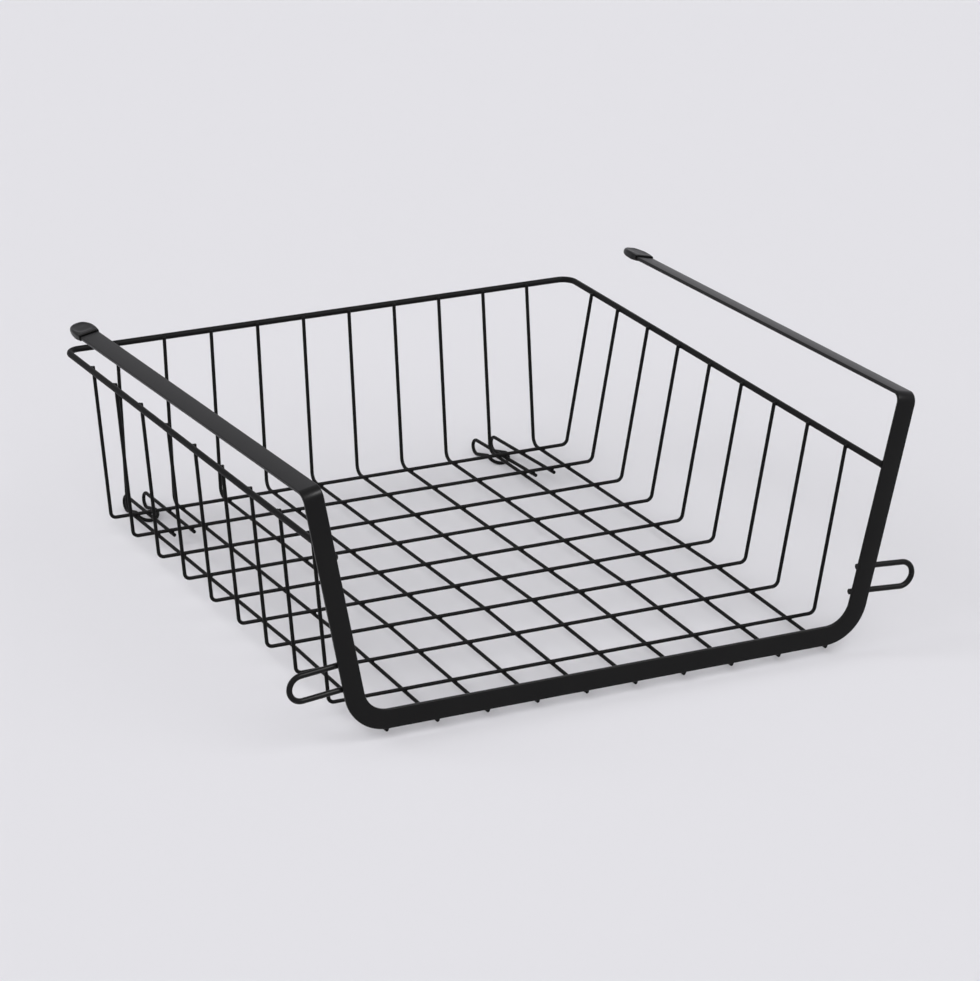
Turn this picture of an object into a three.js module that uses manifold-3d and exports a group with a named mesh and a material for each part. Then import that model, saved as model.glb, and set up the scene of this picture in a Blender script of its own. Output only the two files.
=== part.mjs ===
// Under-shelf basket of welded wire on a flat-bar frame, in millimetres.
// +X is to the right, +Y to the back and +Z up. It stands on its two rear hooks,
// with the origin under the middle of its outline.
import * as THREE from 'three';
import { mergeVertices } from 'three/addons/utils/BufferGeometryUtils.js';
import Module from 'manifold-3d';

// Stock: wire diameters, the flat bar, and the space kept between welded neighbours.
const MESH_WIRE = 2.2;
const RIM_WIRE = 4;
const LOOP_WIRE = 3.5;
const HOOK_WIRE = 2.2;
const BAR_WIDTH = 13.2;
const BAR_THICK = 2.5;
const BAR_EDGE = 0.5;
const WELD_GAP = 0.3;

// Wire grid: long wires run front to back, cross wires run side to side on top of them.
// The first and last bays between the cross wires have their own sizes.
const LONG_COUNT = 10;
const LONG_PITCH = 35.3;
const CROSS_COUNT = 9;
const CROSS_PITCH = 42.8;
const FRONT_BAY = 47;
const BACK_BAY = 38;
const SIDE_MARGIN = 18.6;
const BACK_MARGIN = 15;
const FRONT_MARGIN = 43.8;
const SIDE_LEAN = THREE.MathUtils.degToRad(7.3);
const BACK_LEAN = THREE.MathUtils.degToRad(8.2);
const CROSS_TIP = THREE.MathUtils.degToRad(2.5);
const MESH_BEND = 7;
const END_SHORT = 1.2;

// Floor fall: behind this cross wire the floor is level, in front it slopes down to the bar.
const FALL_FROM_CROSS = 3;
const UNDER_BAR_RUN = 2;

// Rim: centre height over the long wires, and the bend of its back corners.
const RIM_HEIGHT = 115.2;
const RIM_CORNER = 9.5;
const RIM_LAP = 0.4;

// Front frame: one flat bar bent into a bottom bar, two leaning uprights and two arms.
const BAR_RISE = 2.8;
const BAR_CORNER = 24;
const UPRIGHT_LEAN = THREE.MathUtils.degToRad(12.2);
const ARM_HEIGHT = 160.7;
const ARM_BEND = 6;
const ARM_REACH = 354;
const ARM_DROOP = THREE.MathUtils.degToRad(1.5);

// Front loops: eyes welded behind the uprights.
const LOOP_RISE = 31;
const LOOP_WIDTH = 17.2;
const LOOP_OUT = 33.8;
const LOOP_INSET = 1;

// Rear hooks: hairpins under the last two cross wires, folded back on themselves.
const HOOK_WIDTH = 15;
const HOOK_TAIL = 45;
const HOOK_DROP = 10.5;
const HOOK_RETURN = 40;
const HOOK_END = 3.4;

// Arm caps: moulded sleeves, tongue shaped in plan, with a raised top and a blunt nose.
const CAP_GAP = 0.3;
const CAP_WALL = 0.9;
const CAP_CROWN = 0.8;
const CAP_LAP = 10;
const CAP_TIP = 10.5;
const CAP_NOSE = 4.5;
const CAP_TAPER = 2.8;
const CAP_SOFTNESS = 0.45;
const CAP_MOUTH_CUT = 1;

// Facets.
const WIRE_SIDES = 12;
const BEND_STEP = THREE.MathUtils.degToRad(22);
const JOIN_TOLERANCE = 1e-6;
const CAP_RINGS = 12;
const CAP_CORNER_STEPS = 3;

// Finishes: black powder coat on the steel, black soft plastic on the caps.
const coat = new THREE.MeshStandardMaterial({ color: 0x1d1d1d, roughness: 0.5, metalness: 0 });
const plastic = new THREE.MeshStandardMaterial({ color: 0x191919, roughness: 0.42, metalness: 0 });

const vec = (x, y, z) => new THREE.Vector3(x, y, z);
const basket = new THREE.Group();

// Working frame: x = 0 on the middle plane, y = 0 on the first cross wire, z = 0 on the long wires.
function crossY(j) {
  if (j === 0) return 0;
  const innerBays = Math.min(j, CROSS_COUNT - 2) - 1;
  const lastBay = j === CROSS_COUNT - 1 ? BACK_BAY : 0;
  return FRONT_BAY + innerBays * CROSS_PITCH + lastBay;
}
const longX = (i) => (i - (LONG_COUNT - 1) / 2) * LONG_PITCH;
const meshPitch = MESH_WIRE + WELD_GAP;
const outerLongX = longX(LONG_COUNT - 1);
const lastCrossY = crossY(CROSS_COUNT - 1);

// The wires stand on the inside of the rim, so the rim's line follows from the walls.
const rimOffset = (MESH_WIRE + RIM_WIRE) / 2 + WELD_GAP;
const sideCornerX = outerLongX + SIDE_MARGIN;
const wallX = (z) => sideCornerX + (z - meshPitch) * Math.tan(SIDE_LEAN);
const backCornerY = lastCrossY + BACK_MARGIN;
const wallY = (z) => backCornerY + z * Math.tan(BACK_LEAN);
const rimX = wallX(RIM_HEIGHT) + rimOffset / Math.cos(SIDE_LEAN);
const rimY = wallY(RIM_HEIGHT) + rimOffset / Math.cos(BACK_LEAN);
const wireTop = RIM_HEIGHT + RIM_WIRE / 2 - END_SHORT;

// The uprights lap the rim's ends with their inner edges.
const barBackY = -FRONT_MARGIN;
const barMidY = barBackY - BAR_THICK / 2;
const barFrontY = barBackY - BAR_THICK;
const uprightSlope = Math.tan(UPRIGHT_LEAN);
const halfBarAcross = BAR_WIDTH / 2 / Math.cos(UPRIGHT_LEAN);
const uprightX = (z) => rimX - RIM_LAP + halfBarAcross + (z - RIM_HEIGHT) * uprightSlope;

// Level of the long wires along the floor, down to the underside of the bar.
const underBar = BAR_RISE - BAR_WIDTH / 2 - WELD_GAP - MESH_WIRE / 2;
const fallStart = crossY(FALL_FROM_CROSS - 1);
const fallEnd = barBackY + UNDER_BAR_RUN;
function longLevel(y) {
  const share = THREE.MathUtils.clamp((fallStart - y) / (fallStart - fallEnd), 0, 1);
  return underBar * share;
}

// A route with straight runs and round bends, and a side direction carried along without twist.
class Route extends THREE.Curve {
  constructor(corners, side) {
    super();
    this.points = [];
    this.side = side;
    corners.forEach(([point, radius], k) => {
      const arc = radius ? roundBend(corners[k - 1][0], point, corners[k + 1][0], radius) : [point];
      const meets = k > 0 && this.points.at(-1).distanceTo(arc[0]) < JOIN_TOLERANCE;
      this.points.push(...(meets ? arc.slice(1) : arc));
    });
  }

  get steps() {
    return this.points.length - 1;
  }

  getPoint(t) {
    const place = t * this.steps;
    const k = Math.min(Math.floor(place), this.steps - 1);
    return this.points[k].clone().lerp(this.points[k + 1], place - k);
  }

  getSpacedPoints() {
    return this.points;
  }

  computeFrenetFrames() {
    const runs = this.points.slice(1).map((p, k) => p.clone().sub(this.points[k]).normalize());
    const tangents = this.points.map((_, k) => {
      const before = runs[Math.max(k - 1, 0)];
      const after = runs[Math.min(k, runs.length - 1)];
      return before.clone().add(after).normalize();
    });
    let carried = this.side;
    const normals = tangents.map((tangent, k) => {
      const before = runs[Math.max(k - 1, 0)];
      const normal = swing(carried, before, tangent);
      carried = swing(carried, before, runs[Math.min(k, runs.length - 1)]);
      return normal;
    });
    const binormals = tangents.map((tangent, k) => tangent.clone().cross(normals[k]));
    return { tangents, normals, binormals };
  }
}

// A direction turned with the least turn that takes one unit vector to another.
function swing(direction, from, to) {
  return direction.clone().applyQuaternion(new THREE.Quaternion().setFromUnitVectors(from, to));
}

// Points of the arc that rounds one corner of a route.
function roundBend(from, corner, to, radius) {
  const back = from.clone().sub(corner).normalize();
  const ahead = to.clone().sub(corner).normalize();
  const half = back.angleTo(ahead) / 2;
  const reach = radius / Math.tan(half);
  const centre = back.clone().add(ahead).normalize().multiplyScalar(radius / Math.sin(half)).add(corner);
  const start = corner.clone().addScaledVector(back, reach).sub(centre);
  const end = corner.clone().addScaledVector(ahead, reach).sub(centre);
  const axis = start.clone().cross(end).normalize();
  const sweep = start.angleTo(end);
  const count = Math.max(1, Math.ceil(sweep / BEND_STEP));
  const arc = [];
  for (let k = 0; k <= count; k++) {
    arc.push(start.clone().applyAxisAngle(axis, (sweep * k) / count).add(centre));
  }
  return arc;
}

function roundSection(diameter) {
  const ring = [];
  for (let k = 0; k < WIRE_SIDES; k++) {
    const angle = (2 * Math.PI * k) / WIRE_SIDES;
    ring.push(new THREE.Vector2(Math.cos(angle), Math.sin(angle)).multiplyScalar(diameter / 2));
  }
  return new THREE.Shape(ring);
}

// Flat bar section with eased edges, its width along x.
function barSection(width, thick, ease) {
  const x = width / 2;
  const y = thick / 2;
  const outline = [
    [x, ease - y], [x, y - ease], [x - ease, y], [ease - x, y],
    [-x, y - ease], [-x, ease - y], [ease - x, -y], [x - ease, -y],
  ];
  return new THREE.Shape(outline.map(([u, v]) => new THREE.Vector2(u, v)));
}

function addMesh(name, geometry, material, parent = basket) {
  const mesh = new THREE.Mesh(geometry, material);
  mesh.name = name;
  parent.add(mesh);
  return mesh;
}

// One bent bar or wire, from its corners and the direction of its section's first axis.
function addBent(name, section, corners, side) {
  const route = new Route(corners, side);
  const options = { steps: route.steps, extrudePath: route, bevelEnabled: false };
  addMesh(name, new THREE.ExtrudeGeometry(section, options), coat);
}

// Cross wires: a U each, down one side wall, over the floor and up the other. Each U tips forward a little.
function addCrossWire(j) {
  const y = crossY(j);
  const floor = longLevel(y) + meshPitch;
  const topY = y - (wireTop - floor) * Math.tan(CROSS_TIP);
  addBent(`cross_wire_${j + 1}`, roundSection(MESH_WIRE), [
    [vec(-wallX(wireTop), topY, wireTop), 0],
    [vec(-wallX(floor), y, floor), MESH_BEND],
    [vec(wallX(floor), y, floor), MESH_BEND],
    [vec(wallX(wireTop), topY, wireTop), 0],
  ], vec(0, Math.cos(CROSS_TIP), Math.sin(CROSS_TIP)));
}

// Long wires: under the bar, along the floor and up the back wall.
function addLongWire(i) {
  const x = longX(i);
  addBent(`long_wire_${i + 1}`, roundSection(MESH_WIRE), [
    [vec(x, barFrontY, underBar), 0],
    [vec(x, fallEnd, underBar), 0],
    [vec(x, fallStart, 0), 0],
    [vec(x, backCornerY, 0), MESH_BEND],
    [vec(x, wallY(wireTop), wireTop), 0],
  ], vec(1, 0, 0));
}

// Rim: a U in plan whose ends stop on the uprights' back faces.
function addRim() {
  const end = barBackY + WELD_GAP;
  addBent('rim_wire', roundSection(RIM_WIRE), [
    [vec(-rimX, end, RIM_HEIGHT), 0],
    [vec(-rimX, rimY, RIM_HEIGHT), RIM_CORNER],
    [vec(rimX, rimY, RIM_HEIGHT), RIM_CORNER],
    [vec(rimX, end, RIM_HEIGHT), 0],
  ], vec(0, 0, 1));
}

// One bend across the bar turns each upright into its arm, so the arm lies rolled by the lean.
const armSide = (s) => vec(s * Math.cos(UPRIGHT_LEAN), 0, -Math.sin(UPRIGHT_LEAN));
const armAlong = (s) => vec(-s * Math.sin(UPRIGHT_LEAN), 0, -Math.cos(UPRIGHT_LEAN))
  .multiplyScalar(Math.sin(ARM_DROOP))
  .add(vec(0, Math.cos(ARM_DROOP), 0));
const armRoot = (s) => vec(s * uprightX(ARM_HEIGHT), barMidY, ARM_HEIGHT);
const armEnd = (s) => armRoot(s).addScaledVector(armAlong(s), ARM_REACH);

function addFrame() {
  const footX = uprightX(BAR_RISE);
  addBent('front_frame', barSection(BAR_WIDTH, BAR_THICK, BAR_EDGE), [
    [armEnd(-1), 0],
    [armRoot(-1), ARM_BEND],
    [vec(-footX, barMidY, BAR_RISE), BAR_CORNER],
    [vec(footX, barMidY, BAR_RISE), BAR_CORNER],
    [armRoot(1), ARM_BEND],
    [armEnd(1), 0],
  ], armSide(-1));
}

// Front loops: both legs cross the upright's back and end just short of its inner edge.
function addFrontLoop(name, s) {
  const y = barBackY + WELD_GAP + LOOP_WIRE / 2;
  const middle = BAR_RISE + LOOP_RISE;
  const high = middle + LOOP_WIDTH / 2;
  const low = middle - LOOP_WIDTH / 2;
  const inner = (z) => uprightX(z) - halfBarAcross + LOOP_INSET;
  const tip = uprightX(middle) + halfBarAcross + LOOP_OUT;
  addBent(name, roundSection(LOOP_WIRE), [
    [vec(s * inner(high), y, high), 0],
    [vec(s * tip, y, high), LOOP_WIDTH / 2],
    [vec(s * tip, y, low), LOOP_WIDTH / 2],
    [vec(s * inner(low), y, low), 0],
  ], vec(0, 1, 0));
}

// Rear hooks sit midway between the two outer long wires.
const hookX = outerLongX - LONG_PITCH / 2;
const hookTop = meshPitch - (MESH_WIRE + HOOK_WIRE) / 2 - WELD_GAP;
const hookLow = hookTop - HOOK_DROP;
const hookTailY = lastCrossY + HOOK_TAIL;

function addRearHook(name, s) {
  const left = s * hookX - HOOK_WIDTH / 2;
  const right = s * hookX + HOOK_WIDTH / 2;
  const end = crossY(CROSS_COUNT - 2) - HOOK_END;
  const tip = hookTailY - HOOK_RETURN;
  const fold = HOOK_DROP / 2;
  addBent(name, roundSection(HOOK_WIRE), [
    [vec(left, end, hookTop), 0],
    [vec(left, hookTailY, hookTop), fold],
    [vec(left, hookTailY, hookLow), fold],
    [vec(left, tip, hookLow), HOOK_WIDTH / 2],
    [vec(right, tip, hookLow), HOOK_WIDTH / 2],
    [vec(right, hookTailY, hookLow), fold],
    [vec(right, hookTailY, hookTop), fold],
    [vec(right, end, hookTop), 0],
  ], vec(1, 0, 0));
}

// Outline of the cap across the arm: a box with rounded corners, from its half width, top and bottom.
function capRing(halfWidth, top, bottom, corner) {
  const ring = [];
  const corners = [[1, 1], [-1, 1], [-1, -1], [1, -1]];
  corners.forEach(([sx, sz], quarter) => {
    for (let k = 0; k <= CAP_CORNER_STEPS; k++) {
      const angle = (Math.PI / 2) * (quarter + k / CAP_CORNER_STEPS);
      const x = sx * (halfWidth - corner) + corner * Math.cos(angle);
      const z = (sz > 0 ? top - corner : bottom + corner) + corner * Math.sin(angle);
      ring.push([x, z]);
    }
  });
  return ring;
}

// Half width, top and bottom of the cap at a distance from its mouth.
function capProfile(along) {
  const reach = CAP_LAP + CAP_TIP;
  const side = BAR_WIDTH / 2 + CAP_GAP + CAP_WALL;
  const shell = BAR_THICK / 2 + CAP_GAP + CAP_WALL;
  const nose = Math.max(0, along - reach + CAP_NOSE) / CAP_NOSE;
  const close = Math.sqrt(1 - nose ** 2);
  const middle = CAP_CROWN / 2;
  return {
    halfWidth: side * Math.sqrt(1 - (along / reach) ** CAP_TAPER),
    top: middle + (shell + middle) * close,
    bottom: middle - (shell + middle) * close,
  };
}

// Cap body: rings along the arm, closed by a fan at the mouth and at the tip.
function capBody() {
  const reach = CAP_LAP + CAP_TIP;
  const rings = [];
  for (let k = 0; k < CAP_RINGS; k++) {
    const along = reach * Math.sin((Math.PI / 2) * (k / CAP_RINGS));
    const { halfWidth, top, bottom } = capProfile(along);
    const corner = Math.min(halfWidth, (top - bottom) / 2) * CAP_SOFTNESS;
    rings.push(capRing(halfWidth, top, bottom, corner).map(([x, z]) => [x, along, z]));
  }
  const size = rings[0].length;
  const points = rings.flat();
  const mouth = points.push([0, 0, 0]) - 1;
  const tip = points.push([0, reach, CAP_CROWN / 2]) - 1;
  const faces = [];
  for (let m = 0; m < size; m++) {
    const next = (m + 1) % size;
    faces.push([mouth, m, next]);
    faces.push([tip, (CAP_RINGS - 1) * size + next, (CAP_RINGS - 1) * size + m]);
    for (let k = 0; k + 1 < CAP_RINGS; k++) {
      const here = k * size;
      const there = here + size;
      faces.push([here + m, there + m, there + next], [here + m, there + next, here + next]);
    }
  }
  const geometry = new THREE.BufferGeometry();
  geometry.setAttribute('position', new THREE.Float32BufferAttribute(points.flat(), 3));
  geometry.setIndex(faces.flat());
  return geometry;
}

const wasm = await Module();
wasm.setup();

function toSolid(geometry) {
  const bare = geometry.clone();
  bare.deleteAttribute('normal');
  bare.deleteAttribute('uv');
  const merged = mergeVertices(bare);
  return new wasm.Manifold(new wasm.Mesh({
    numProp: 3,
    vertProperties: new Float32Array(merged.attributes.position.array),
    triVerts: new Uint32Array(merged.index.array),
  }));
}

function toGeometry(solid) {
  const mesh = solid.getMesh();
  const geometry = new THREE.BufferGeometry();
  geometry.setAttribute('position', new THREE.BufferAttribute(mesh.vertProperties, 3));
  geometry.setIndex(new THREE.BufferAttribute(mesh.triVerts, 1));
  geometry.computeVertexNormals();
  return geometry;
}

// Arm caps: the slot takes the bar's end with clearance all round.
function addCap(name, s) {
  const slotDepth = CAP_LAP + CAP_GAP + CAP_MOUTH_CUT;
  const slot = new THREE.BoxGeometry(BAR_WIDTH + 2 * CAP_GAP, slotDepth, BAR_THICK + 2 * CAP_GAP);
  slot.translate(0, slotDepth / 2 - CAP_MOUTH_CUT, 0);
  const solid = toSolid(capBody()).subtract(toSolid(slot));
  const holder = new THREE.Group();
  const side = armSide(s).multiplyScalar(s);
  const along = armAlong(s);
  holder.matrixAutoUpdate = false;
  holder.matrix.makeBasis(side, along, side.clone().cross(along));
  holder.matrix.setPosition(armEnd(s).addScaledVector(along, -CAP_LAP));
  basket.add(holder);
  addMesh(name, toGeometry(solid), plastic, holder);
}

addFrame();
addRim();
for (let j = 0; j < CROSS_COUNT; j++) addCrossWire(j);
for (let i = 0; i < LONG_COUNT; i++) addLongWire(i);
addFrontLoop('left_front_loop', -1);
addFrontLoop('right_front_loop', 1);
addRearHook('left_rear_hook', -1);
addRearHook('right_rear_hook', 1);
addCap('left_arm_cap', -1);
addCap('right_arm_cap', 1);

// Origin under the middle of the outline, on the level that the hooks stand on.
const outlineBackY = hookTailY + HOOK_WIRE / 2;
basket.position.set(0, -(barFrontY + outlineBackY) / 2, HOOK_WIRE / 2 - hookLow);

const part = new THREE.Group();
part.add(basket);
export default part;
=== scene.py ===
"""Looks of an under-shelf basket: coated wire grid, thick rim, flat-bar frame and capped arms."""
import math

import bpy
import numpy as np
from mathutils import Matrix, Vector


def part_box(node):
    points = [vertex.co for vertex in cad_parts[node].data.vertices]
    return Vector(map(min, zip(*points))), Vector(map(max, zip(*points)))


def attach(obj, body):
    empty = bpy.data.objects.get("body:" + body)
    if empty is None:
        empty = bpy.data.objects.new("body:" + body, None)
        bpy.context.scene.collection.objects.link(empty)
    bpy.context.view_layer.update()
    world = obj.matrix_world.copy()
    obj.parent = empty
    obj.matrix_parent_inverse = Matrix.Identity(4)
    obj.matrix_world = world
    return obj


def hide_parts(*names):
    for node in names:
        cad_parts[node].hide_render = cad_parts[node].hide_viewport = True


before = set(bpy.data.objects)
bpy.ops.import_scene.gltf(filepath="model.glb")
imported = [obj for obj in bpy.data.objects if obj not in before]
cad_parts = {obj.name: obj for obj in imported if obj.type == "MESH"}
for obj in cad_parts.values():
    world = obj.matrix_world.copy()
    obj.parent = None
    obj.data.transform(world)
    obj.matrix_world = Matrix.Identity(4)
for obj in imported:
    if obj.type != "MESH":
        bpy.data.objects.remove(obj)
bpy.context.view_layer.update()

# Stock sizes, in metres, the coat's thickness on the round wires, and the share of a wire's diameter
# in which its tips round over.
MM = 0.001
MESH_WIRE = 2.2 * MM
RIM_WIRE = 4 * MM
LOOP_WIRE = 3.5 * MM
HOOK_WIRE = 2.2 * MM
BAR_WIDTH = 13.2 * MM
BAR_THICK = 2.5 * MM
BAR_EDGE = 0.7 * MM
WELD_GAP = 0.3 * MM
COAT_BUILD = 0.15 * MM
WIRE_TIP = 0.32

# Bends and leans of the wires and of the flat bar.
SIDE_LEAN = math.radians(7.3)
BACK_LEAN = math.radians(8.2)
CROSS_TIP = math.radians(2.5)
UPRIGHT_LEAN = math.radians(12.2)
ARM_DROOP = math.radians(1.5)
CROSS_BEND = 4.4 * MM
LONG_BEND = 7 * MM
FALL_BEND = 60 * MM
RIM_CORNER = 9.5 * MM
BAR_CORNER = 24 * MM
ARM_BEND = 6 * MM

# Places that the nodes' boxes don't give.
CROSS_COUNT = 9
LONG_COUNT = 10
FALL_FROM_CROSS = 3
UNDER_BAR_RUN = 2 * MM
NUB_SHORT = 1.2 * MM
NUB_PRESS = 0.45 * MM
RIM_LAP = 0.4 * MM
ARM_OVER_RIM = 45.5 * MM
ARM_REACH = 354 * MM

# How the loops, hooks and caps of either side sit.
LOOP_DROOP = {"left": math.radians(6), "right": math.radians(4)}
LOOP_LIFT = {"left": 1.5 * MM, "right": 3.5 * MM}
HOOK_TURN = {"left": 0.0, "right": math.radians(3.5)}
HOOK_SHIFT = {"left": 0.0, "right": -3.2 * MM}
CAP_BACK = {"left": 3.7 * MM, "right": -2.4 * MM}

# Rear hooks: the return under the fold climbs to a knee, then a round lip turns down.
HOOK_RETURN = 21 * MM
HOOK_RISE = 4 * MM
HOOK_LIP = 8.5 * MM
HOOK_KNEE = 3 * MM

# Arm caps: slot clearance, walls, the tongue that closes past the bar's end, and the dish in its top.
CAP_GAP = 0.3 * MM
CAP_WALL = 0.9 * MM
CAP_CROWN = 0.8 * MM
CAP_LAP = 11.5 * MM
CAP_TIP = 11.5 * MM
CAP_NOSE = 4.5 * MM
CAP_TAPER = 4.5
CAP_ROLL = 1 * MM
CAP_DROP = 0.7 * MM
CAP_DISH = 0.8 * MM
CAP_DISH_WIDTH = 0.84
CAP_DISH_MIDDLE = 0.5
CAP_DISH_REACH = 0.42
CAP_SWELL = 0.5 * MM
CAP_SWELL_RUN = 6 * MM
CAP_RISE = 0.75 * MM
CAP_RISE_RUN = 13 * MM
CAP_LIP_INSET = 0.2 * MM
CAP_SLOT_POWER = 14
CAP_MOUTH_POWER = 8
CAP_TIP_POWER = 2.4
CAP_RINGS = 44
CAP_RING_SPREAD = 0.9
CAP_SIDES = 64

# Weld nuggets: half sizes along the wire, across it and in the press direction, and the places of a
# loop's welds as shares of the bar's width.
MESH_NUGGET = (1.4 * MM, 1.4 * MM, 0.8 * MM)
RIM_NUGGET = (1.7 * MM, 1.5 * MM, 0.9 * MM)
BAR_NUGGET = (1.5 * MM, 1.05 * MM, 0.8 * MM)
LOOP_NUGGET = (2.4 * MM, 1.9 * MM, 1.0 * MM)
END_NUGGET = (2.7 * MM, 2.7 * MM, 1.1 * MM)
LOOP_WELD_PLACES = (-0.25, 0.25)
NUGGET_UNEVENNESS = 0.08
NUGGET_SEED = 4

# Fineness of the swept pieces and of the nuggets.
WIRE_SIDES = 20
BEND_STEPS = 12
BAR_BEND_STEPS = 24
EDGE_STEPS = 4
TIP_POINTS = 5
NUGGET_FINENESS = 2


# Geometry node trees

class NodeTree:
    """A geometry node tree with named inputs, built from the first node to the last."""

    def __init__(self, name, inputs):
        self.group = bpy.data.node_groups.new(name, "GeometryNodeTree")
        sockets = self.group.interface
        sockets.new_socket("Geometry", in_out="INPUT", socket_type="NodeSocketGeometry")
        for label, kind in inputs.items():
            sockets.new_socket(label, in_out="INPUT", socket_type=f"NodeSocket{kind}")
        sockets.new_socket("Geometry", in_out="OUTPUT", socket_type="NodeSocketGeometry")
        self.inputs = self.group.nodes.new("NodeGroupInput").outputs

    def add(self, kind, links=None, **settings):
        """Adds a node. Links maps its input names or numbers to a socket or a value."""
        node = self.group.nodes.new(kind)
        for key, value in settings.items():
            setattr(node, key, value)
        for key, value in (links or {}).items():
            if isinstance(value, bpy.types.NodeSocket):
                self.group.links.new(value, node.inputs[key])
            else:
                node.inputs[key].default_value = value
        return node.outputs

    def math(self, operation, *values):
        return self.add("ShaderNodeMath", dict(enumerate(values)), operation=operation)[0]

    def attribute(self, name, kind):
        return self.add("GeometryNodeInputNamedAttribute", {"Name": name}, data_type=kind)["Attribute"]

    def close(self, geometry):
        """Ends the tree: smooth faces, plain geometry and the piece's finish."""
        smooth = self.add("GeometryNodeSetShadeSmooth", {"Geometry": geometry})[0]
        plain = self.add("GeometryNodeRealizeInstances", {"Geometry": smooth})[0]
        finished = self.add("GeometryNodeSetMaterial",
                            {"Geometry": plain, "Material": self.inputs["Material"]})[0]
        output = self.group.nodes.new("NodeGroupOutput")
        self.group.links.new(finished, output.inputs["Geometry"])
        return self.group


def bent_route(tree):
    """The input polyline as a curve, with each corner rounded to its own bend radius."""
    route = tree.add("GeometryNodeMeshToCurve", {"Mesh": tree.inputs["Geometry"]})[0]
    return tree.add("GeometryNodeFilletCurve", {
        "Curve": route, "Count": tree.inputs["Bend Steps"],
        "Radius": tree.attribute("bend", "FLOAT"), "Limit Radius": True}, mode="POLY")[0]


def wire_tree():
    """A round wire along a bent route, its ends rounded over by the coat."""
    tree = NodeTree("coated_wire", {
        "Diameter": "Float", "Tip": "Float", "Sides": "Int", "Bend Steps": "Int", "Material": "Material"})
    route = bent_route(tree)
    along = tree.add("GeometryNodeSplineParameter")["Length"]
    whole = tree.add("GeometryNodeSplineLength")["Length"]
    from_end = tree.math("MINIMUM", along, tree.math("SUBTRACT", whole, along))
    inside = tree.math("MINIMUM", tree.math("DIVIDE", from_end, tree.inputs["Tip"]), 1.0)
    short = tree.math("SUBTRACT", 1.0, inside)
    arc = tree.math("SQRT", tree.math("SUBTRACT", 1.0, tree.math("MULTIPLY", short, short)))
    radius = tree.math("MULTIPLY", tree.inputs["Diameter"], 0.5)
    depth = tree.math("DIVIDE", tree.inputs["Tip"], radius)
    full = tree.math("SUBTRACT", 1.0, tree.math("MULTIPLY", depth, tree.math("SUBTRACT", 1.0, arc)))
    thinned = tree.add("GeometryNodeSetCurveRadius", {"Curve": route, "Radius": full})[0]
    ring = tree.add("GeometryNodeCurvePrimitiveCircle", {
        "Resolution": tree.inputs["Sides"], "Radius": radius}, mode="RADIUS")["Curve"]
    wire = tree.add("GeometryNodeCurveToMesh", {
        "Curve": thinned, "Profile Curve": ring, "Fill Caps": True})[0]
    return tree.close(wire)


def bar_tree():
    """A flat bar along a bent route, rolled about its line, with eased edges."""
    tree = NodeTree("bent_bar", {
        "Width": "Float", "Thickness": "Float", "Edge": "Float", "Edge Steps": "Int", "Roll": "Float",
        "Bend Steps": "Int", "Material": "Material"})
    rolled = tree.add("GeometryNodeSetCurveTilt", {
        "Curve": bent_route(tree), "Tilt": tree.inputs["Roll"]})[0]
    blank = tree.add("GeometryNodeCurvePrimitiveQuadrilateral", {
        "Width": tree.inputs["Width"], "Height": tree.inputs["Thickness"]}, mode="RECTANGLE")[0]
    section = tree.add("GeometryNodeFilletCurve", {
        "Curve": blank, "Count": tree.inputs["Edge Steps"], "Radius": tree.inputs["Edge"]}, mode="POLY")[0]
    bar = tree.add("GeometryNodeCurveToMesh", {
        "Curve": rolled, "Profile Curve": section, "Fill Caps": True})[0]
    return tree.close(bar)


def weld_tree():
    """Weld nuggets on points, each flattened along its press direction, with a fixed unevenness."""
    tree = NodeTree("weld_nuggets", {
        "Unevenness": "Float", "Seed": "Int", "Fineness": "Int", "Material": "Material"})
    blob = tree.add("GeometryNodeMeshIcoSphere", {
        "Radius": 1.0, "Subdivisions": tree.inputs["Fineness"]})["Mesh"]
    pressed = tree.add("FunctionNodeAlignRotationToVector", {
        "Vector": tree.attribute("press", "FLOAT_VECTOR")}, axis="Z")[0]
    turned = tree.add("FunctionNodeAlignRotationToVector", {
        "Rotation": pressed, "Vector": tree.attribute("along", "FLOAT_VECTOR")},
        axis="X", pivot_axis="Z")[0]
    change = tree.add("FunctionNodeRandomValue", {
        "Seed": tree.inputs["Seed"],
        2: tree.math("SUBTRACT", 1.0, tree.inputs["Unevenness"]),
        3: tree.math("ADD", 1.0, tree.inputs["Unevenness"])}, data_type="FLOAT")[1]
    size = tree.add("ShaderNodeVectorMath", {
        0: tree.attribute("size", "FLOAT_VECTOR"), "Scale": change}, operation="SCALE")[0]
    nuggets = tree.add("GeometryNodeInstanceOnPoints", {
        "Points": tree.inputs["Geometry"], "Instance": blob, "Rotation": turned, "Scale": size})[0]
    return tree.close(nuggets)


# Making a piece from its tree

def set_inputs(modifier, values):
    for item in modifier.node_group.interface.items_tree:
        if item.in_out == "INPUT" and item.name in values:
            modifier[item.identifier] = values[item.name]


def grown(name, seed_mesh, group, values):
    """A piece with the mesh that a node tree grows from its seed mesh."""
    piece = bpy.data.objects.new(name, seed_mesh)
    bpy.context.scene.collection.objects.link(piece)
    modifier = piece.modifiers.new("grow", "NODES")
    modifier.node_group = group
    set_inputs(modifier, values)
    depsgraph = bpy.context.evaluated_depsgraph_get()
    mesh = bpy.data.meshes.new_from_object(piece.evaluated_get(depsgraph))
    piece.modifiers.clear()
    piece.data = mesh
    mesh.name = name
    bpy.data.meshes.remove(seed_mesh)
    return piece


def settle(piece, slot, *nodes):
    """Ties a finished piece to the basket's body and hides the solids it stands for. The slot is not used.
    """
    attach(piece, "root")
    if nodes:
        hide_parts(*nodes)


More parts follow.
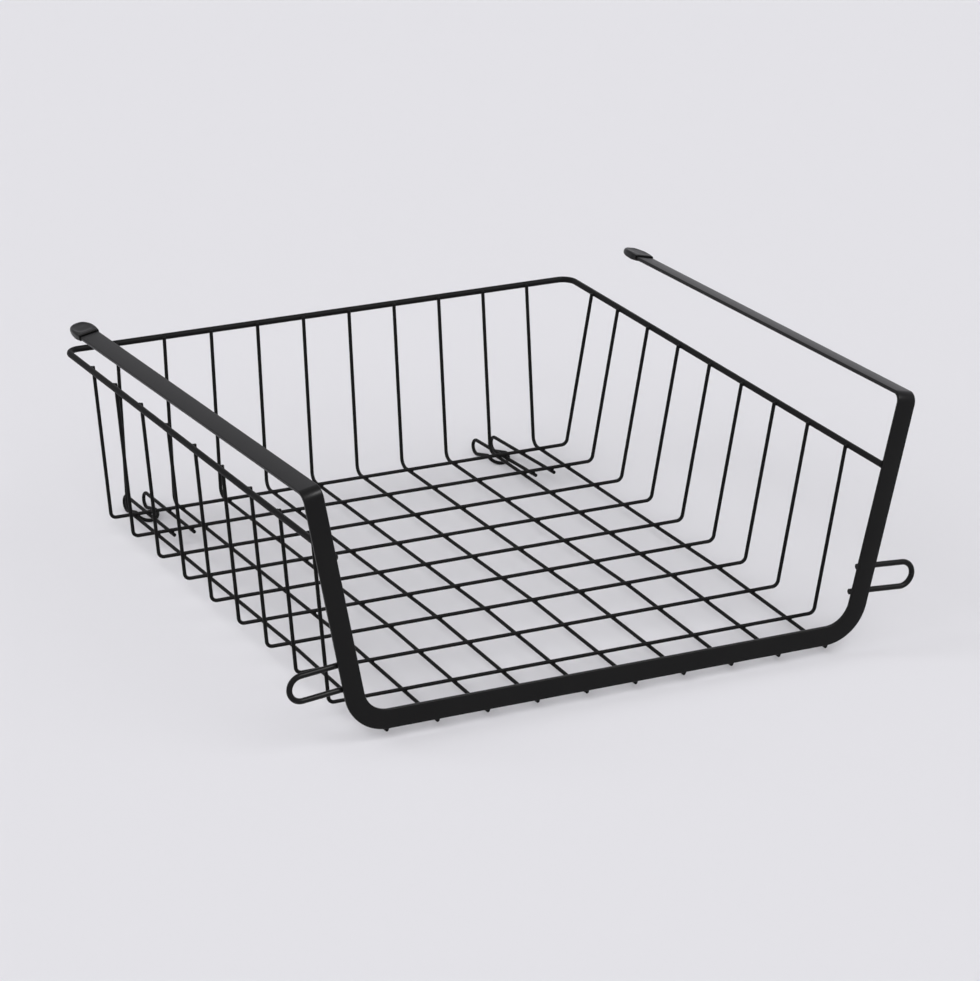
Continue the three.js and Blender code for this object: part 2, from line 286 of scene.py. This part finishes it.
def route_mesh(corners, tip=0.0):
    """An open polyline with a bend radius at each corner, and extra points where its tips round over."""
    points = [Vector(point) for point, _ in corners]
    bends = [bend for _, bend in corners]
    if tip:
        shares = [1 - math.cos(math.pi / 2 * k / TIP_POINTS) for k in range(1, TIP_POINTS + 1)]
        first = (points[1] - points[0]).normalized()
        last = (points[-2] - points[-1]).normalized()
        head = [points[0] + first * (tip * share) for share in shares]
        tail = [points[-1] + last * (tip * share) for share in reversed(shares)]
        points = points[:1] + head + points[1:-1] + tail + points[-1:]
        bends = bends[:1] + [0.0] * TIP_POINTS + bends[1:-1] + [0.0] * TIP_POINTS + bends[-1:]
    mesh = bpy.data.meshes.new("route")
    mesh.from_pydata(points, [(k, k + 1) for k in range(len(points) - 1)], [])
    mesh.attributes.new("bend", "FLOAT", "POINT").data.foreach_set("value", bends)
    return mesh


def wire_piece(name, node, corners, diameter, coat):
    """A wire with its coat on, which stands for its node."""
    coated = diameter + 2 * COAT_BUILD
    tip = WIRE_TIP * coated
    piece = grown(name, route_mesh(corners, tip), WIRE, {
        "Diameter": coated, "Tip": tip, "Sides": WIRE_SIDES, "Bend Steps": BEND_STEPS, "Material": coat})
    settle(piece, "black_coat", node)


# Finishes: tones, dryness and gloss, then the width, strength and depth of the patterns in them

BAR_FINISH = {
    "low": (0.0024, 0.0024, 0.0024), "high": (0.0038, 0.0037, 0.0036), "dry": (0.3, 0.41), "gloss": 0.155}
WIRE_FINISH = {
    "low": (0.0036, 0.0036, 0.0036), "high": (0.005, 0.0049, 0.0048), "dry": (0.46, 0.57), "gloss": 0.08}
CAP_FINISH = {
    "low": (0.003, 0.003, 0.0031), "high": (0.0045, 0.0045, 0.0046), "dry": (0.3, 0.4), "gloss": 0.15}
PATTERN_LOW = 0.3
PATTERN_HIGH = 0.7
PLAIN_DETAIL = 2.0
FINE_DETAIL = 3.0
PEEL_WIDTH = 1.1 * MM
PEEL_BUMP = (0.35, 0.05 * MM)
GRAIN_WIDTH = 0.28 * MM
GRAIN_BUMP = (0.25, 0.02 * MM)
MOULD_WIDTH = 0.5 * MM
MOULD_BUMP = (0.2, 0.02 * MM)
COAT_CLOUD = 24 * MM
CAP_CLOUD = 6 * MM


def shader(name):
    """A new material with its principled shader, node adder and linker."""
    material = bpy.data.materials.new(name)
    material.use_nodes = True
    nodes = material.node_tree.nodes
    principled = nodes["Principled BSDF"]
    return material, nodes, material.node_tree.links, principled


def mixed_tone(nodes, links, height, low, high):
    """A colour between two tones that follows a pattern's height."""
    ramp = nodes.new("ShaderNodeValToRGB")
    ramp.color_ramp.elements[0].position = PATTERN_LOW
    ramp.color_ramp.elements[0].color = (*low, 1)
    ramp.color_ramp.elements[1].position = PATTERN_HIGH
    ramp.color_ramp.elements[1].color = (*high, 1)
    links.new(height, ramp.inputs["Fac"])
    return ramp.outputs["Color"]


def ranged(nodes, links, height, low, high):
    """A value between two limits that follows a pattern's height."""
    span = nodes.new("ShaderNodeMapRange")
    span.inputs["From Min"].default_value = PATTERN_LOW
    span.inputs["From Max"].default_value = PATTERN_HIGH
    span.inputs["To Min"].default_value = low
    span.inputs["To Max"].default_value = high
    links.new(height, span.inputs["Value"])
    return span.outputs["Result"]


def noise(nodes, links, place, width, detail=PLAIN_DETAIL):
    """A noise pattern whose features are about this wide, in metres."""
    texture = nodes.new("ShaderNodeTexNoise")
    texture.inputs["Scale"].default_value = 1 / width
    texture.inputs["Detail"].default_value = detail
    links.new(place, texture.inputs["Vector"])
    return texture.outputs["Fac"]


def bumped(nodes, links, height, strength, depth, under=None):
    """A surface normal raised by a pattern, over another normal if one is given."""
    bump = nodes.new("ShaderNodeBump")
    bump.inputs["Strength"].default_value = strength
    bump.inputs["Distance"].default_value = depth
    links.new(height, bump.inputs["Height"])
    if under is not None:
        links.new(under, bump.inputs["Normal"])
    return bump.outputs["Normal"]


def powder_coat(name, low, high, dry, gloss):
    """Black powder coat: soft gloss, a fine orange peel and a dry grain."""
    material, nodes, links, principled = shader(name)
    place = nodes.new("ShaderNodeTexCoord").outputs["Object"]
    peel = noise(nodes, links, place, PEEL_WIDTH)
    grain = noise(nodes, links, place, GRAIN_WIDTH, FINE_DETAIL)
    cloud = noise(nodes, links, place, COAT_CLOUD, FINE_DETAIL)
    tone = mixed_tone(nodes, links, cloud, low, high)
    links.new(tone, principled.inputs["Base Color"])
    links.new(ranged(nodes, links, grain, *dry), principled.inputs["Roughness"])
    skin = bumped(nodes, links, peel, *PEEL_BUMP)
    links.new(bumped(nodes, links, grain, *GRAIN_BUMP, skin), principled.inputs["Normal"])
    principled.inputs["Specular IOR Level"].default_value = gloss
    return material


def cap_plastic(name, low, high, dry, gloss):
    """Black soft plastic: smoother than the coat, with a faint moulded texture."""
    material, nodes, links, principled = shader(name)
    place = nodes.new("ShaderNodeTexCoord").outputs["Object"]
    mould = noise(nodes, links, place, MOULD_WIDTH)
    cloud = noise(nodes, links, place, CAP_CLOUD)
    tone = mixed_tone(nodes, links, cloud, low, high)
    links.new(tone, principled.inputs["Base Color"])
    links.new(ranged(nodes, links, cloud, *dry), principled.inputs["Roughness"])
    links.new(bumped(nodes, links, mould, *MOULD_BUMP), principled.inputs["Normal"])
    principled.inputs["Specular IOR Level"].default_value = gloss
    return material


BAR_COAT = powder_coat("bar_powder_coat", **BAR_FINISH)
WIRE_COAT = powder_coat("wire_powder_coat", **WIRE_FINISH)
PLASTIC = cap_plastic("black_cap_plastic", **CAP_FINISH)
WIRE = wire_tree()
BAR = bar_tree()
WELDS = weld_tree()


# Lines of the wires, from their nodes' boxes

CROSS_RISE = Vector((math.tan(SIDE_LEAN), -math.tan(CROSS_TIP), 1.0))


def cross_line(j):
    """Top end and foot corner of the right leg of a cross wire."""
    low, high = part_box(f"cross_wire_{j}")
    radius = MESH_WIRE / 2
    leg = CROSS_RISE.normalized()
    spread = [radius * math.sqrt(1 - part * part) for part in leg]
    top = Vector((high.x - spread[0], low.y + spread[1], high.z - spread[2]))
    return top, top - CROSS_RISE * (top.z - low.z - radius)


def cross_corners(j):
    top, foot = cross_line(j)
    return [
        ((-top.x, top.y, top.z), 0.0),
        ((-foot.x, foot.y, foot.z), CROSS_BEND),
        (foot, CROSS_BEND),
        (top, 0.0),
    ]


bar_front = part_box("front_frame")[0].y
bar_back = bar_front + BAR_THICK
floor_level = cross_line(CROSS_COUNT)[1].z - MESH_WIRE - WELD_GAP
fall_start = cross_line(FALL_FROM_CROSS)[1].y
fall_end = bar_back + UNDER_BAR_RUN


def long_line(i):
    """Top end, y of the foot, x and level under the bar of a long wire."""
    low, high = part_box(f"long_wire_{i}")
    radius = MESH_WIRE / 2
    top_y = high.y - radius * math.cos(BACK_LEAN)
    top_z = high.z - radius * math.sin(BACK_LEAN)
    foot_y = top_y - (top_z - floor_level) * math.tan(BACK_LEAN)
    return (top_y, top_z), foot_y, (low.x + high.x) / 2, low.z + radius


def long_corners(i):
    (top_y, top_z), foot_y, x, under = long_line(i)
    return [
        ((x, bar_front + NUB_SHORT, under + NUB_PRESS), 0.0),
        ((x, fall_end, under + NUB_PRESS), FALL_BEND),
        ((x, fall_start, floor_level), FALL_BEND),
        ((x, foot_y, floor_level), LONG_BEND),
        ((x, top_y, top_z), 0.0),
    ]


rim_low, rim_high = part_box("rim_wire")
rim_x = rim_high.x - RIM_WIRE / 2
rim_back = rim_high.y - RIM_WIRE / 2
rim_level = (rim_low.z + rim_high.z) / 2


def rim_corners():
    return [
        ((-rim_x, rim_low.y, rim_level), 0.0),
        ((-rim_x, rim_back, rim_level), RIM_CORNER),
        ((rim_x, rim_back, rim_level), RIM_CORNER),
        ((rim_x, rim_low.y, rim_level), 0.0),
    ]


half_bar_across = BAR_WIDTH / 2 / math.cos(UPRIGHT_LEAN)


def upright_x(z):
    """Middle of the right upright at a height."""
    return rim_x - RIM_LAP + half_bar_across + (z - rim_level) * math.tan(UPRIGHT_LEAN)


def loop_corners(side, s):
    """Corners of a loop, drooped about its welds on the upright."""
    low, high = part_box(f"{side}_front_loop")
    radius = LOOP_WIRE / 2 + COAT_BUILD
    lift = LOOP_LIFT[side]
    y = (low.y + high.y) / 2
    upper = high.z - radius + lift
    lower = low.z + radius + lift
    tip = max(abs(low.x), abs(high.x)) - radius
    inner_lower = min(abs(low.x), abs(high.x)) + lift * math.tan(UPRIGHT_LEAN)
    inner_upper = inner_lower + (upper - lower) * math.tan(UPRIGHT_LEAN)
    end_bend = (upper - lower) / 2
    middle = (upper + lower) / 2
    weld = Vector((s * upright_x(middle), y, middle))
    droop = Matrix.Rotation(s * LOOP_DROOP[side], 3, "Y")
    flat = [
        ((s * inner_upper, y, upper), 0.0),
        ((s * tip, y, upper), end_bend),
        ((s * tip, y, lower), end_bend),
        ((s * inner_lower, y, lower), 0.0),
    ]
    return [(weld + droop @ (Vector(point) - weld), bend) for point, bend in flat]


def hook_leg(side):
    """The y, height and bend of each corner of a hook's leg, from its front end to the lip."""
    low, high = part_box(f"{side}_rear_hook")
    radius = HOOK_WIRE / 2 + COAT_BUILD
    upper = high.z - radius
    lower = low.z + radius
    tail = high.y - radius
    fold = (upper - lower) / 2
    climb = math.atan2(HOOK_RISE, HOOK_RETURN - fold)
    under = upper - fold - fold * math.tan((math.pi / 2 + climb) / 2)
    knee = tail - HOOK_RETURN
    return [
        (low.y, upper, 0.0),
        (tail, upper, fold),
        (tail, under, fold),
        (knee, under + HOOK_RETURN * math.tan(climb), HOOK_KNEE),
        (knee - HOOK_LIP, lower, (high.x - low.x) / 2 - radius),
    ]


def hook_x(side, x, y):
    """The x of a place on a hook's leg, once the hook is shifted and turned about its front end."""
    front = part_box(f"{side}_rear_hook")[0].y
    return x + HOOK_SHIFT[side] - (y - front) * math.tan(HOOK_TURN[side])


def hook_corners(side):
    low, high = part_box(f"{side}_rear_hook")
    inset = HOOK_WIRE / 2 + COAT_BUILD
    leg = hook_leg(side)
    left = [((hook_x(side, low.x + inset, y), y, z), bend) for y, z, bend in leg]
    right = [((hook_x(side, high.x - inset, y), y, z), bend) for y, z, bend in leg]
    return left + right[::-1]


bar_middle = bar_front + BAR_THICK / 2
bar_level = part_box("front_frame")[0].z + BAR_WIDTH / 2
arm_level = rim_level + ARM_OVER_RIM


def arm_root(s):
    return Vector((s * upright_x(arm_level), bar_middle, arm_level))


def arm_along(s):
    """Direction of an arm, from the upright to its cap."""
    down = Vector((-s * math.sin(UPRIGHT_LEAN), 0, -math.cos(UPRIGHT_LEAN)))
    return Vector((0, math.cos(ARM_DROOP), 0)) + down * math.sin(ARM_DROOP)


def arm_end(s):
    return arm_root(s) + arm_along(s) * ARM_REACH


def frame_corners():
    foot_x = upright_x(bar_level)
    return [
        (arm_end(-1), 0.0),
        (arm_root(-1), ARM_BEND),
        ((-foot_x, bar_middle, bar_level), BAR_CORNER),
        ((foot_x, bar_middle, bar_level), BAR_CORNER),
        (arm_root(1), ARM_BEND),
        (arm_end(1), 0.0),
    ]


# Wires and bar

def make_wires():
    for j in range(1, CROSS_COUNT + 1):
        wire_piece(f"coated_cross_wire_{j}", f"cross_wire_{j}", cross_corners(j), MESH_WIRE, WIRE_COAT)
    for i in range(1, LONG_COUNT + 1):
        wire_piece(f"coated_long_wire_{i}", f"long_wire_{i}", long_corners(i), MESH_WIRE, WIRE_COAT)
    wire_piece("coated_rim", "rim_wire", rim_corners(), RIM_WIRE, WIRE_COAT)
    for side, s in (("left", -1), ("right", 1)):
        wire_piece(f"{side}_eye_loop", f"{side}_front_loop", loop_corners(side, s), LOOP_WIRE, BAR_COAT)
        wire_piece(f"{side}_folded_hook", f"{side}_rear_hook", hook_corners(side), HOOK_WIRE, WIRE_COAT)


def make_frame():
    piece = grown("flat_bar_frame", route_mesh(frame_corners()), BAR, {
        "Width": BAR_WIDTH, "Thickness": BAR_THICK, "Edge": BAR_EDGE, "Edge Steps": EDGE_STEPS,
        "Roll": UPRIGHT_LEAN, "Bend Steps": BAR_BEND_STEPS, "Material": BAR_COAT})
    settle(piece, "black_coat", "front_frame")


# Arm caps

def eased(share):
    share = min(max(share, 0.0), 1.0)
    return share * share * (3 - 2 * share)


def cap_outline(along):
    """Half width, top and bottom of the cap at a distance from its mouth: slim there, full at the tip."""
    reach = CAP_LAP + CAP_TIP
    slim = CAP_SWELL * (1 - eased(along / CAP_SWELL_RUN))
    low = CAP_RISE * (1 - eased(along / CAP_RISE_RUN))
    width = (BAR_WIDTH / 2 + CAP_GAP + CAP_WALL - slim) * math.sqrt(1 - (along / reach) ** CAP_TAPER)
    nose = max(0.0, along - reach + CAP_NOSE) / CAP_NOSE
    half = (BAR_THICK / 2 + CAP_GAP + CAP_WALL + CAP_CROWN / 2) * math.sqrt(1 - nose * nose)
    return width, CAP_CROWN / 2 + half - low, CAP_CROWN / 2 - half + slim


def soft_box(half_width, top, bottom, power):
    """A ring between a box and an ellipse, by the power of its curve."""
    ring = []
    for k in range(CAP_SIDES):
        turn = 2 * math.pi * (k + 0.5) / CAP_SIDES
        c, s = math.cos(turn), math.sin(turn)
        x = half_width * math.copysign(abs(c) ** (2 / power), c)
        z = (top + bottom) / 2 + (top - bottom) / 2 * math.copysign(abs(s) ** (2 / power), s)
        ring.append((x, z))
    return ring


def cap_outer_ring(along):
    """A ring of the cap's outside, rolled over at the mouth and dished on top."""
    reach = CAP_LAP + CAP_TIP
    width, top, bottom = cap_outline(along)
    roll = max(0.0, 1 - along / CAP_ROLL)
    drop = CAP_DROP * (1 - math.sqrt(1 - roll * roll))
    power = CAP_MOUTH_POWER + (CAP_TIP_POWER - CAP_MOUTH_POWER) * eased(along / reach)
    ring = []
    for x, z in soft_box(width, top - drop, bottom, power):
        lift = (z - bottom) / (top - bottom)
        aside = x / (CAP_DISH_WIDTH * width)
        away = (along / reach - CAP_DISH_MIDDLE) / CAP_DISH_REACH
        near = aside ** 2 + away ** 2
        dish = CAP_DISH * max(0.0, 1 - near ** 2) * eased(2 * lift - 1)
        ring.append((x, along, z - dish))
    return ring


def cap_rings(lap):
    """Rings of the cap's skin: from the slot's end out to the mouth, then over the outside to the tip."""
    half_slot = BAR_THICK / 2 + CAP_GAP
    slot = soft_box(BAR_WIDTH / 2 + CAP_GAP, half_slot, -half_slot, CAP_SLOT_POWER)
    inner = [[(x, along, z) for x, z in slot] for along in (lap + CAP_GAP, lap / 2, CAP_LIP_INSET)]
    reach = CAP_LAP + CAP_TIP
    outer = []
    for k in range(CAP_RINGS):
        share = 0.5 - 0.5 * math.cos(math.pi * (k / CAP_RINGS) ** CAP_RING_SPREAD)
        outer.append(cap_outer_ring(reach * share))
    return inner + outer, (0.0, reach, CAP_CROWN / 2)


def cap_faces(ring_count):
    """Faces from ring to ring, with a fan on the slot's end and one on the tip."""
    slot_end = ring_count * CAP_SIDES
    last = slot_end - CAP_SIDES
    faces = []
    for m in range(CAP_SIDES):
        after = (m + 1) % CAP_SIDES
        faces.append((slot_end, m, after))
        faces.append((slot_end + 1, last + after, last + m))
        for here in range(0, last, CAP_SIDES):
            there = here + CAP_SIDES
            faces.append((here + m, there + m, there + after, here + after))
    return faces


def make_cap(side, s):
    """A cap on its arm, seated as far on as it is on this side."""
    lap = CAP_LAP - CAP_BACK[side]
    rings, tip = cap_rings(lap)
    points = [point for ring in rings for point in ring]
    points += [(0.0, lap + CAP_GAP, 0.0), tip]
    along = arm_along(s)
    across = Vector((math.cos(UPRIGHT_LEAN), 0, -s * math.sin(UPRIGHT_LEAN)))
    mouth = arm_end(s) - along * lap
    place = Matrix((across, along, across.cross(along))).transposed()
    mesh = bpy.data.meshes.new(f"{side}_soft_cap")
    mesh.from_pydata([mouth + place @ Vector(point) for point in points], [], cap_faces(len(rings)))
    mesh.polygons.foreach_set("use_smooth", [True] * len(mesh.polygons))
    mesh.materials.append(PLASTIC)
    piece = bpy.data.objects.new(f"{side}_soft_cap", mesh)
    bpy.context.scene.collection.objects.link(piece)
    settle(piece, "cap_plastic", f"{side}_arm_cap")


# Welds

def mesh_welds():
    """Where each cross wire is pressed on the long wires."""
    for j in range(1, CROSS_COUNT + 1):
        foot = cross_line(j)[1]
        for i in range(1, LONG_COUNT + 1):
            x = long_line(i)[2]
            yield (x, foot.y, foot.z - (MESH_WIRE + WELD_GAP) / 2), (0, 0, 1), (1, 0, 0), MESH_NUGGET


def rim_welds():
    """Where the wires' ends are pressed on the inside of the rim."""
    out = (MESH_WIRE + WELD_GAP) / 2
    for j in range(1, CROSS_COUNT + 1):
        top = cross_line(j)[0]
        joint = top - CROSS_RISE * (top.z - rim_level)
        for s in (-1, 1):
            yield (s * (joint.x + out), joint.y, rim_level), (s, 0, 0), (0, 1, 0), RIM_NUGGET
    for i in range(1, LONG_COUNT + 1):
        (top_y, top_z), _, x, _ = long_line(i)
        y = top_y - (top_z - rim_level) * math.tan(BACK_LEAN) + out
        yield (x, y, rim_level), (0, 1, 0), (1, 0, 0), RIM_NUGGET


def bar_welds():
    """Where the long wires meet the bar, and the loops and the rim's ends meet the uprights."""
    for i in range(1, LONG_COUNT + 1):
        _, _, x, under = long_line(i)
        yield (x, bar_middle, under + (MESH_WIRE + WELD_GAP) / 2), (0, 0, 1), (1, 0, 0), BAR_NUGGET
    seam = bar_back + WELD_GAP / 2
    for side, s in (("left", -1), ("right", 1)):
        low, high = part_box(f"{side}_front_loop")
        radius = LOOP_WIRE / 2
        for leg in (low.z + radius, high.z - radius):
            z = leg + LOOP_LIFT[side]
            for place in LOOP_WELD_PLACES:
                x = upright_x(z) + place * BAR_WIDTH
                yield (s * x, seam, z), (0, 1, 0), (1, 0, 0), LOOP_NUGGET
        yield (s * (rim_x + RIM_LAP), seam, rim_level), (0, 1, 0), (1, 0, 0), END_NUGGET


def hook_welds():
    """Where the hooks' legs are pressed under the last two cross wires."""
    for side in ("left", "right"):
        low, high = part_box(f"{side}_rear_hook")
        level = high.z + WELD_GAP / 2
        for j in (CROSS_COUNT - 1, CROSS_COUNT):
            y = cross_line(j)[1].y
            for x in (low.x + HOOK_WIRE / 2, high.x - HOOK_WIRE / 2):
                yield (hook_x(side, x, y), y, level), (0, 0, 1), (1, 0, 0), MESH_NUGGET


def make_welds():
    spots = [*mesh_welds(), *rim_welds(), *bar_welds(), *hook_welds()]
    mesh = bpy.data.meshes.new("weld_spots")
    mesh.from_pydata([spot[0] for spot in spots], [], [])
    for column, name in enumerate(("press", "along", "size"), start=1):
        layer = mesh.attributes.new(name, "FLOAT_VECTOR", "POINT")
        layer.data.foreach_set("vector", np.array([spot[column] for spot in spots], np.float32).ravel())
    piece = grown("weld_nuggets", mesh, WELDS, {
        "Unevenness": NUGGET_UNEVENNESS, "Seed": NUGGET_SEED, "Fineness": NUGGET_FINENESS,
        "Material": WIRE_COAT})
    settle(piece, "black_coat")


make_wires()
make_frame()
make_cap("left", -1)
make_cap("right", 1)
make_welds()


# Stage, light and camera

FLOOR_TONE = (0.768, 0.761, 0.799)
FLOOR_SIZE = 40
SKY_LIGHT = 0.17

# Lamps: share of the floor's light, then turn to the left of the front, height and spread in degrees.
SIDE_LAMP = {"share": 0.4, "turn": 90, "height": 35, "spread": 65}
FRONT_LAMP = {"share": 0.23, "turn": 28, "height": 25, "spread": 45}
TOP_LAMP = {"share": 0.2, "turn": -28, "height": 48, "spread": 50}
EDGE_LAMP = {"share": 0.45, "turn": -28, "height": 48, "spread": 12, "mirrored": True}

# The photograph's camera, fitted to the crossings of the grid: lens and sensor in mm, place in metres.
FOCAL_LENGTH = 168.33
SENSOR = 36
CAMERA_PLACE = Vector((-1.3284, -2.5340, 1.1503))
CAMERA_RIGHT = Vector((0.88564, -0.46389, 0.02107))
CAMERA_UP = Vector((0.14704, 0.32316, 0.93485))


def make_floor():
    half = FLOOR_SIZE / 2
    mesh = bpy.data.meshes.new("floor")
    corners = [(-half, -half, 0), (half, -half, 0), (half, half, 0), (-half, half, 0)]
    mesh.from_pydata(corners, [], [(0, 1, 2, 3)])
    floor = bpy.data.objects.new("floor", mesh)
    bpy.context.scene.collection.objects.link(floor)
    material, _, _, principled = shader("pale_floor")
    principled.inputs["Base Color"].default_value = (*FLOOR_TONE, 1)
    principled.inputs["Roughness"].default_value = 1.0
    principled.inputs["Specular IOR Level"].default_value = 0.0
    mesh.materials.append(material)


def make_lamp(name, share, turn, height, spread, mirrored=False):
    """A far lamp from a turn to the left of the front. It lights the floor by its share, or only glints."""
    lamp = bpy.data.lights.new(name, "SUN")
    lamp.energy = share * math.pi / math.sin(math.radians(height))
    lamp.angle = math.radians(spread)
    holder = bpy.data.objects.new(name, lamp)
    holder.visible_glossy = mirrored
    holder.visible_diffuse = not mirrored
    holder.rotation_euler = (math.radians(90 - height), 0, math.radians(-turn))
    bpy.context.scene.collection.objects.link(holder)


def make_light():
    world = bpy.data.worlds.new("soft_room")
    bpy.context.scene.world = world
    world.use_nodes = True
    nodes = world.node_tree.nodes
    links = world.node_tree.links
    sky = nodes["Background"]
    rays = nodes.new("ShaderNodeLightPath")
    looked = nodes.new("ShaderNodeMath")
    looked.operation = "MAXIMUM"
    links.new(rays.outputs["Is Camera Ray"], looked.inputs[0])
    links.new(rays.outputs["Is Glossy Ray"], looked.inputs[1])
    seen = nodes.new("ShaderNodeMath")
    seen.operation = "MAXIMUM"
    links.new(looked.outputs[0], seen.inputs[0])
    links.new(rays.outputs["Is Transmission Ray"], seen.inputs[1])
    tone = nodes.new("ShaderNodeMix")
    tone.data_type = "RGBA"
    tone.inputs["A"].default_value = (SKY_LIGHT, SKY_LIGHT, SKY_LIGHT, 1)
    tone.inputs["B"].default_value = (*FLOOR_TONE, 1)
    links.new(seen.outputs[0], tone.inputs["Factor"])
    links.new(tone.outputs["Result"], sky.inputs["Color"])
    make_lamp("side_window", **SIDE_LAMP)
    make_lamp("front_panel", **FRONT_LAMP)
    make_lamp("top_panel", **TOP_LAMP)
    make_lamp("edge_strip", **EDGE_LAMP)


def make_camera():
    lens = bpy.data.cameras.new("camera")
    lens.lens = FOCAL_LENGTH
    lens.sensor_width = SENSOR
    lens.sensor_fit = "HORIZONTAL"
    camera = bpy.data.objects.new("camera", lens)
    away = CAMERA_RIGHT.cross(CAMERA_UP)
    turn = Matrix((CAMERA_RIGHT, CAMERA_UP, away)).transposed()
    camera.matrix_world = Matrix.LocRotScale(CAMERA_PLACE, turn.to_quaternion(), None)
    bpy.context.scene.collection.objects.link(camera)
    bpy.context.scene.camera = camera


make_floor()
make_light()
make_camera()
bpy.context.scene.view_settings.view_transform = "Standard"
